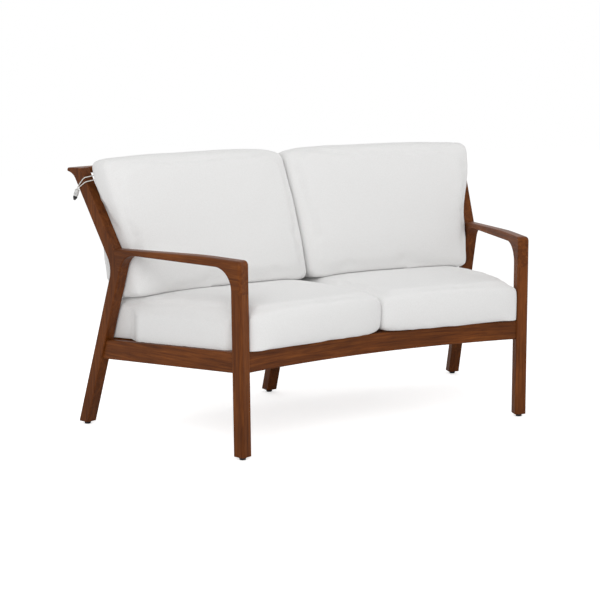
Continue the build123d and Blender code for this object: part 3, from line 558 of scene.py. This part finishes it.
# Cushion cloth: a plain weave with slubs, read from the piece's own place
clothValues = {
    "colour": (0.835, 0.833, 0.828),
    # painted shade in the weave's hollows, between the threads
    "weaveHollowShade": (0.775, 0.772, 0.766),
    "pitch": 0.0013,
    "weaveHeight": (0.5, 0.00025),  # strength and distance of the bump
    "slubNoise": (210.0, 3.0, 0.6),  # scale, detail, roughness
    "slubTones": [(0.25, (0.965, 0.963, 0.96)), (0.65, (1.0, 1.0, 1.0))],
    "slubHeight": (0.3, 0.0004),
    "creaseNoise": (14.0, 3.0, 0.5),
    "creaseHeight": (0.25, 0.004),
    "roughness": 0.92,
    "sheen": 0.25,
    "sheenRoughness": 0.5,
}


def makeCloth(name, values):
    material, tree, shader = newMaterial(name)
    links = tree.links
    place = objectPlace(tree)
    parts = tree.nodes.new("ShaderNodeSeparateXYZ")
    links.new(place, parts.inputs[0])
    frequency = 2 * math.pi / values["pitch"]
    waves = {}
    for axis in "XYZ":
        angle = mathNode(tree, "MULTIPLY", parts.outputs[axis], frequency)
        waves[axis] = mathNode(tree, "SINE", angle)
    facing = tree.nodes.new("ShaderNodeSeparateXYZ")
    links.new(addNode(tree, "ShaderNodeNewGeometry").outputs["True Normal"], facing.inputs[0])
    total = None
    for axis, (first, second) in {"X": "YZ", "Y": "XZ", "Z": "XY"}.items():
        square = mathNode(tree, "MULTIPLY", facing.outputs[axis], facing.outputs[axis])
        cross = mathNode(tree, "MULTIPLY", waves[first], waves[second])
        share = mathNode(tree, "MULTIPLY", square, cross)
        total = share if total is None else mathNode(tree, "ADD", total, share)
    weave = mathNode(tree, "ADD", mathNode(tree, "MULTIPLY", total, 0.5), 0.5)
    slubs = noiseNode(tree, place, *values["slubNoise"])
    creases = noiseNode(tree, place, *values["creaseNoise"])
    # Painted shade: the weave's low points, between the threads, are darker than the cloth
    colour = rampNode(tree, weave, [(0.15, values["weaveHollowShade"]), (0.75, values["colour"])])
    slubTone = rampNode(tree, slubs, values["slubTones"])
    colour = mixColours(tree, "MULTIPLY", 1.0, colour, slubTone)
    links.new(colour, shader.inputs["Base Color"])
    low = bumpNode(tree, creases, *values["creaseHeight"])
    middle = bumpNode(tree, slubs, *values["slubHeight"], low)
    links.new(bumpNode(tree, weave, *values["weaveHeight"], middle), shader.inputs["Normal"])
    shader.inputs["Roughness"].default_value = values["roughness"]
    shader.inputs["Sheen Weight"].default_value = values["sheen"]
    shader.inputs["Sheen Roughness"].default_value = values["sheenRoughness"]
    return material


cloth = makeCloth("cushionCloth", clothValues)


# Cushions: the filling's own shape, swollen as cloth under pressure
cushionValues = {
    "voxel": 0.012,
    "smoothing": 2,
    "smoothFactor": 0.5,
    "grow": 0.0032,  # from the filling out to its cover
    "pressure": 4.0,
    "pressureSpread": 0.03,  # from one cushion to the next, in three steps
    "frames": 20,
    "tension": 14.0,
    "bending": 1.2,
    "outCap": 0.010,
    "inCap": 0.0015,
    "alongCap": 0.006,
    "sideGap": 0.0225,  # from the side frame's middle to the cushions
    "middleGap": 0.0005,
    "restGap": 0.0004,
    "swellStart": 0.034,  # along the side, where a seat cushion may swell outwards
    "swellEnd": 0.512,
    "swellFade": 0.05,
    "swellDepth": 0.021,
    "footReach": 0.011,  # of the swollen side's foot, out over the side rail
    "footRound": 0.045,
    "shoulderGap": 0.0225,  # before the post, where the ties run
    "shoulderReach": 0.030,  # past the cushion's side, out in front of the post
    "shoulderRise": 0.009,
    "shoulderBand": (0.030, 0.120),
    "shoulderFoot": 0.634,
    "shoulderFade": 0.190,
    "shoulderLeast": 0.3,  # of the shoulder's share, below which it stays beside the post
    "postFront": 0.70447,  # along the side, at the height below
    "postHeight": 0.871,
    "postLean": 0.59612,
    "slatRadius": 3.1075,  # of the back slats' fronts, level with the rear rail's top
    "slatBase": 0.305,
    "slatLean": math.tan(math.radians(9.2)),
    "crestRadius": 3.1755,
    "crestUnder": 0.851,
    "crestNear": 0.003,  # below the crest, where its radius already holds
    "unevenness": 0.003,
    "unevenScale": 4.0,
    "fineShare": 0.4,  # of the unevenness, three times as fine
    "seedSteps": (7.3, 3.1, 5.7),  # keep the cushions unlike each other
    "pullReach": 0.022,
    "footDepth": 0.075,  # of the seat cushion's outer foot, drawn down onto the deck
    "footBand": (0.035, 0.110),
    "railClear": 0.0006,
    "reachPasses": 2,  # of drawing the cloth out to the solid's edges
    "rayLift": 0.0001,
    "rayReach": 0.1,
    "ease": {"seat": (0.010, 0.003), "back": (0.003, 0.003)},  # left at top and foot edges
    "easeBand": (-0.6, 0.2),  # of the way up that a face looks, from foot to top
    "settleDepth": 0.16,
    "settleSink": 0.006,
    "settleSmooth": 3,
    "settleShare": 0.5,
    "settleWhole": 0.03,  # above the lowest point, smoothed in full
    "castFrom": 0.7,  # a height above both seats
    "fill": {"seat": 0.75, "back": 0.8},
}
hands = {"left": -1, "right": 1}


# Along and inwards of the nearer side frame
def sidePlace(point):
    offset = Vector((-abs(point.x), point.y, 0)) - sideFoot
    return offset.dot(sideAlong), offset.dot(sideInward)


def handOf(point):
    return -1 if point.x < 0 else 1


# Away from the nearer side frame, or towards it below zero
def moveInwards(point, distance):
    point.x -= handOf(point) * sideInward.x * distance
    point.y += sideInward.y * distance


def keepApart(point, hand, gap):
    if point.x * hand < gap:
        point.x = hand * gap


def arcRadius(point):
    return math.hypot(point.x - arcCentre.x, point.y - arcCentre.y)


def seatLevel(radius):
    return plan["seatTop"] - plan["seatFall"] * (radius - plan["railRadius"])


def railTop(point):
    return plan["sideRailTop"] - plan["sideRailFall"] * (sidePlace(point)[0] - plan["sideRailStart"])


def smoothStep(low, high, value):
    share = min(max((value - low) / (high - low), 0.0), 1.0)
    return share * share * (3 - 2 * share)


# A closed quad mesh of a CAD solid, with its edges eased
def remeshedCopy(name, source, values):
    shape = mergedShape(source)
    data = bpy.data.meshes.new(name)
    shape.to_mesh(data)
    shape.free()
    piece = bpy.data.objects.new(name, data)
    scene.collection.objects.link(piece)
    voxels = piece.modifiers.new("voxels", "REMESH")
    voxels.mode = "VOXEL"
    voxels.voxel_size = values["voxel"]
    eased = piece.modifiers.new("eased", "SMOOTH")
    eased.factor = values["smoothFactor"]
    eased.iterations = values["smoothing"]
    applyModifiers(piece)
    normals = [vertex.normal.copy() for vertex in piece.data.vertices]
    for vertex, normal in zip(piece.data.vertices, normals):
        vertex.co += normal * values["grow"]
    return piece


# Run all the cushions' cloth together and keep the result
def swell(pieces, values):
    for index, piece in enumerate(pieces):
        swelling = piece.modifiers.new("swell", "CLOTH")
        settings = swelling.settings
        settings.quality = 3
        settings.tension_stiffness = values["tension"]
        settings.compression_stiffness = values["tension"]
        settings.shear_stiffness = values["tension"]
        settings.bending_stiffness = values["bending"]
        settings.use_pressure = True
        firmer = 1 + values["pressureSpread"] * (index % 3)
        settings.uniform_pressure_force = values["pressure"] * firmer
        settings.effector_weights.gravity = 0
        swelling.collision_settings.use_collision = False
        swelling.point_cache.frame_start = 1
        swelling.point_cache.frame_end = values["frames"]
    for step in range(1, values["frames"] + 1):
        scene.frame_set(step)
    for piece in pieces:
        applyModifiers(piece)
    scene.frame_set(1)


# Push the surface in and out a little, as loose filling does
def uneven(piece, values, seed):
    offset = Vector([seed * step for step in values["seedSteps"]])
    for vertex in piece.data.vertices:
        place = vertex.co * values["unevenScale"]
        push = noise.noise(place + offset)
        push += values["fineShare"] * noise.noise(place * 3 + offset)
        vertex.co += vertex.normal * push * values["unevenness"]


# Hold each point near its start: freely outwards, hardly inwards
def capMovement(piece, started, values):
    for vertex, (home, normal) in zip(piece.data.vertices, started):
        move = vertex.co - home
        outwards = move.dot(normal)
        sideways = move - normal * outwards
        outwards = min(max(outwards, -values["inCap"]), values["outCap"])
        if sideways.length > values["alongCap"]:
            sideways *= values["alongCap"] / sideways.length
        vertex.co = home + normal * outwards + sideways


# Fill the solid's edges and corners, but for an easing that rounds them
def reachOut(piece, solid, kind, values):
    topEase, footEase = values["ease"][kind]
    shape = BVHTree.FromObject(solid, bpy.context.evaluated_depsgraph_get())
    piece.data.update()
    pushes = []
    for vertex in piece.data.vertices:
        normal = vertex.normal
        start = vertex.co + normal * values["rayLift"]
        reach = shape.ray_cast(start, normal, values["rayReach"])[3]
        ease = footEase + (topEase - footEase) * smoothStep(*values["easeBand"], normal.z)
        pushes.append(normal * max(reach - ease, 0) if reach else Vector())
    for vertex, push in zip(piece.data.vertices, pushes):
        vertex.co += push


# How freely a seat cushion's side swells, between the legs
def swellRoom(along, values):
    fade = values["swellFade"]
    room = smoothStep(values["swellStart"], values["swellStart"] + fade, along)
    return room * (1 - smoothStep(values["swellEnd"] - fade, values["swellEnd"], along))


# Clear of the side frames, but for the room to swell between the legs
def keepBeside(point, values):
    along, inwards = sidePlace(point)
    limit = values["sideGap"] - swellRoom(along, values) * values["swellDepth"]
    if inwards < limit:
        moveInwards(point, limit - inwards)


# How far up a back cushion's shoulder a height is
def shoulderShare(height, values):
    foot = values["shoulderFoot"]
    return smoothStep(foot, foot + values["shoulderFade"], height)


# A back cushion's upper end, swollen out in front of the post and up
def swellShoulder(piece, values):
    for vertex in piece.data.vertices:
        point = vertex.co
        share = 1 - smoothStep(*values["shoulderBand"], sidePlace(point)[1])
        share *= shoulderShare(point.z, values)
        moveInwards(point, -share * values["shoulderReach"])
        point.z += share * values["shoulderRise"]


# Only a back cushion's upper end may stand out, and only in front of the post
def keepShoulder(point, values):
    along, inwards = sidePlace(point)
    if inwards >= values["sideGap"]:
        return
    room = shoulderShare(point.z, values)
    limit = values["sideGap"] - room * values["shoulderReach"]
    front = values["postFront"] + values["postLean"] * (point.z - values["postHeight"])
    behind = along - (front - values["shoulderGap"])
    if behind > 0 and (room < values["shoulderLeast"] or behind > values["sideGap"] - inwards):
        limit = values["sideGap"]
    elif behind > 0:
        point.x -= handOf(point) * sideInward.y * behind
        point.y -= sideAlong.y * behind
    if inwards < limit:
        moveInwards(point, limit - inwards)


# Clear of the slats or the crest behind
def keepBefore(point, radius):
    found = arcRadius(point)
    if found > radius:
        share = radius / found
        point.x = arcCentre.x + (point.x - arcCentre.x) * share
        point.y = arcCentre.y + (point.y - arcCentre.y) * share


def slatRadius(height, values):
    radius = values["slatRadius"] + values["slatLean"] * (height - values["slatBase"])
    if height > values["crestUnder"] - values["crestNear"]:
        radius = min(radius, values["crestRadius"])
    return radius


# The foot of a seat cushion's swollen side, pressed out over the side rail
def pushFoot(point, height, footReach, values):
    along, inwards = sidePlace(point)
    reach = swellRoom(along, values) * footReach
    reach *= 1 - smoothStep(0, values["footRound"], height)
    reach *= 1 - smoothStep(0, values["footRound"], inwards)
    moveInwards(point, -reach)


def fitSeat(piece, hand, footReach, values):
    for vertex in piece.data.vertices:
        point = vertex.co
        keepApart(point, hands[hand], values["middleGap"])
        keepBeside(point, values)
        keepBefore(point, slatRadius(point.z, values))
        deck = seatLevel(arcRadius(point)) + values["restGap"]
        inwards = sidePlace(point)[1]
        if inwards < values["sideGap"]:
            deck = railTop(point) + values["railClear"]
        height = max(point.z - deck, 0)
        if height < values["footDepth"]:
            share = 1 - smoothStep(*values["footBand"], inwards)
            height *= 1 - share * (1 - smoothStep(0, values["footDepth"], height))
        point.z = deck + height
        pushFoot(point, height, footReach, values)


# The seat cushion's top in line with a point, if it has one there
def seatUnder(point, below, values):
    return below.ray_cast(Vector((point.x, point.y, values["castFrom"])), Vector((0, 0, -1)))[0]


# Lower the foot of a back cushion until it rests on the seat
def settle(piece, below, values):
    gaps = []
    for vertex in piece.data.vertices:
        hit = seatUnder(vertex.co, below, values)
        if hit is not None:
            gaps.append(vertex.co.z - hit.z)
    lowest = min(vertex.co.z for vertex in piece.data.vertices)
    drop = max(min(gaps), 0) + values["settleSink"]
    for vertex in piece.data.vertices:
        share = 1 - smoothStep(lowest, lowest + values["settleDepth"], vertex.co.z)
        vertex.co.z -= drop * share


# Soften the folds that the settling leaves at a back cushion's foot
def smoothFoot(piece, values):
    lowest = min(vertex.co.z for vertex in piece.data.vertices)
    whole = lowest + values["settleWhole"]
    neighbours = [[] for _ in piece.data.vertices]
    for edge in piece.data.edges:
        first, second = edge.vertices
        neighbours[first].append(second)
        neighbours[second].append(first)
    for _ in range(values["settleSmooth"]):
        places = [vertex.co.copy() for vertex in piece.data.vertices]
        for index, near in enumerate(neighbours):
            place = places[index]
            faded = smoothStep(whole, lowest + values["settleDepth"], place.z)
            middle = sum((places[other] for other in near), Vector()) / len(near)
            share = values["settleShare"] * (1 - faded)
            piece.data.vertices[index].co = place.lerp(middle, share)


def fitBack(piece, hand, below, values):
    settle(piece, below, values)
    smoothFoot(piece, values)
    swellShoulder(piece, values)
    for vertex in piece.data.vertices:
        point = vertex.co
        keepApart(point, hands[hand], values["middleGap"])
        keepShoulder(point, values)
        keepBefore(point, slatRadius(point.z, values))
        hit = seatUnder(point, below, values)
        if hit is not None:
            point.z = max(point.z, hit.z + values["restGap"])


# The cloth drawn out to where a tie is sewn on
def pullTo(piece, target, values):
    points = [vertex.co.copy() for vertex in piece.data.vertices]
    centre = min(points, key=lambda point: (point - target).length)
    pull = target - centre
    for vertex in piece.data.vertices:
        away = (vertex.co - centre).length / values["pullReach"]
        if away < 3:  # beyond, the pull has faded
            vertex.co += pull * math.exp(-away * away)


# Refined, a seat cushion fitted once more, and taken into the model in place of its solids
def finishCushion(piece, kind, hand, values):
    refine = piece.modifiers.new("refine", "SUBSURF")
    refine.levels = 1
    refine.render_levels = 1
    applyModifiers(piece)
    if kind == "seat":
        fitSeat(piece, hand, 0.0, values)
    for face in piece.data.polygons:
        face.use_smooth = True
    piece.data.materials.clear()
    piece.data.materials.append(cloth)
    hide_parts(kind + "_cushion_cover_" + hand, kind + "_cushion_filling_" + hand)
    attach(piece, kind + "_cushion_" + hand)


def makeCushions(values):
    made = {}
    for kind in ("seat", "back"):
        for hand in hands:
            solid = nodes[kind + "_cushion_filling_" + hand]
            made[kind, hand] = remeshedCopy(kind + "Cushion" + hand.capitalize(), solid, values)
    started = {}
    for key, piece in made.items():
        started[key] = [(vertex.co.copy(), vertex.normal.copy()) for vertex in piece.data.vertices]
    swell(list(made.values()), values)
    for seed, (key, piece) in enumerate(made.items()):
        capMovement(piece, started[key], values)
        solid = nodes["_cushion_filling_".join(key)]
        for _ in range(values["reachPasses"]):
            reachOut(piece, solid, key[0], values)
        uneven(piece, values, seed + 1)
    for hand, sign in hands.items():
        seat, back = made["seat", hand], made["back", hand]
        fitSeat(seat, hand, values["footReach"], values)
        seat.data.update()
        below = BVHTree.FromObject(seat, bpy.context.evaluated_depsgraph_get())
        fitBack(back, hand, below, values)
        for level in ("upper", "lower"):
            x, y, z = tieValues[level][0]
            pullTo(back, Vector((-sign * x, y, z)), values)
        finishCushion(seat, "seat", hand, values)
        finishCushion(back, "back", hand, values)


makeCushions(cushionValues)
print("cushions made")


# Studio: pale floor, white surroundings and three soft lights
studioValues = {
    "floorHalf": 9.0,
    "floorDrop": 0.0003,
    "floorColour": (0.93, 0.93, 0.93),
    "floorRoughness": 0.9,
    "floorGloss": 0.2,
    "fadeFrom": 1.3,  # from here on the floor turns plain white
    "fadeTo": 3.2,
    "farGlow": 1.05,
    "ambient": 0.42,
    "aim": (0, 0, 0.4),  # power, size and place of each light follow
    "key": (110.0, 3.6, (-2.8, -3.4, 3.0)),
    "fill": (26.0, 2.8, (3.4, -2.4, 2.0)),
    "top": (26.0, 3.0, (0.3, 0.6, 3.6)),
    "floorGlow": 0.66,
}


def makeFloor(values):
    data = bpy.data.meshes.new("studioFloor")
    half, level = values["floorHalf"], -values["floorDrop"]
    corners = [(x * half, y * half, level) for x, y in ((-1, -1), (1, -1), (1, 1), (-1, 1))]
    data.from_pydata(corners, [], [(0, 1, 2, 3)])
    floor = bpy.data.objects.new("studioFloor", data)
    scene.collection.objects.link(floor)
    material, tree, shader = newMaterial("studioFloor")
    length = addNode(tree, "ShaderNodeVectorMath", operation="LENGTH")
    tree.links.new(objectPlace(tree), length.inputs[0])
    fade = tree.nodes.new("ShaderNodeMapRange")
    fade.interpolation_type = "SMOOTHSTEP"
    fade.inputs["From Min"].default_value = values["fadeFrom"]
    fade.inputs["From Max"].default_value = values["fadeTo"]
    tree.links.new(length.outputs["Value"], fade.inputs["Value"])
    glow = addNode(tree, "ShaderNodeEmission", in_Color=(1, 1, 1, 1), in_Strength=values["farGlow"])
    mix = tree.nodes.new("ShaderNodeMixShader")
    tree.links.new(fade.outputs[0], mix.inputs[0])
    tree.links.new(shader.outputs[0], mix.inputs[1])
    tree.links.new(glow.outputs[0], mix.inputs[2])
    tree.links.new(mix.outputs[0], tree.nodes["Material Output"].inputs["Surface"])
    shader.inputs["Base Color"].default_value = (*values["floorColour"], 1)
    shader.inputs["Roughness"].default_value = values["floorRoughness"]
    shader.inputs["Specular IOR Level"].default_value = values["floorGloss"]
    shader.inputs["Emission Color"].default_value = (1, 1, 1, 1)
    paths = tree.nodes.new("ShaderNodeLightPath")
    lift = mathNode(tree, "MULTIPLY", paths.outputs["Is Camera Ray"], values["floorGlow"])
    tree.links.new(lift, shader.inputs["Emission Strength"])
    data.materials.append(material)
    return floor


def makeLight(name, aim, power, size, place):
    data = bpy.data.lights.new(name, "AREA")
    data.energy = power
    data.size = size
    light = bpy.data.objects.new(name, data)
    light.location = place
    light.rotation_euler = (Vector(aim) - Vector(place)).to_track_quat("-Z", "Y").to_euler()
    scene.collection.objects.link(light)
    return light


def makeWorld(values):
    world = bpy.data.worlds.new("studio")
    scene.world = world
    world.use_nodes = True
    tree = world.node_tree
    tree.nodes.clear()
    paths = tree.nodes.new("ShaderNodeLightPath")
    seen = mathNode(tree, "MAXIMUM", paths.outputs["Is Camera Ray"], paths.outputs["Is Glossy Ray"])
    seen = mathNode(tree, "MAXIMUM", seen, paths.outputs["Is Transmission Ray"])
    lift = mathNode(tree, "MULTIPLY", seen, 1.0 - values["ambient"])
    strength = mathNode(tree, "ADD", lift, values["ambient"])
    background = tree.nodes.new("ShaderNodeBackground")
    background.inputs["Color"].default_value = (1, 1, 1, 1)
    tree.links.new(strength, background.inputs["Strength"])
    output = tree.nodes.new("ShaderNodeOutputWorld")
    tree.links.new(background.outputs[0], output.inputs[0])


stage = [makeFloor(studioValues)]
for name in ("key", "fill", "top"):
    stage.append(makeLight(name + "Light", studioValues["aim"], *studioValues[name]))
makeWorld(studioValues)
print("studio ready")
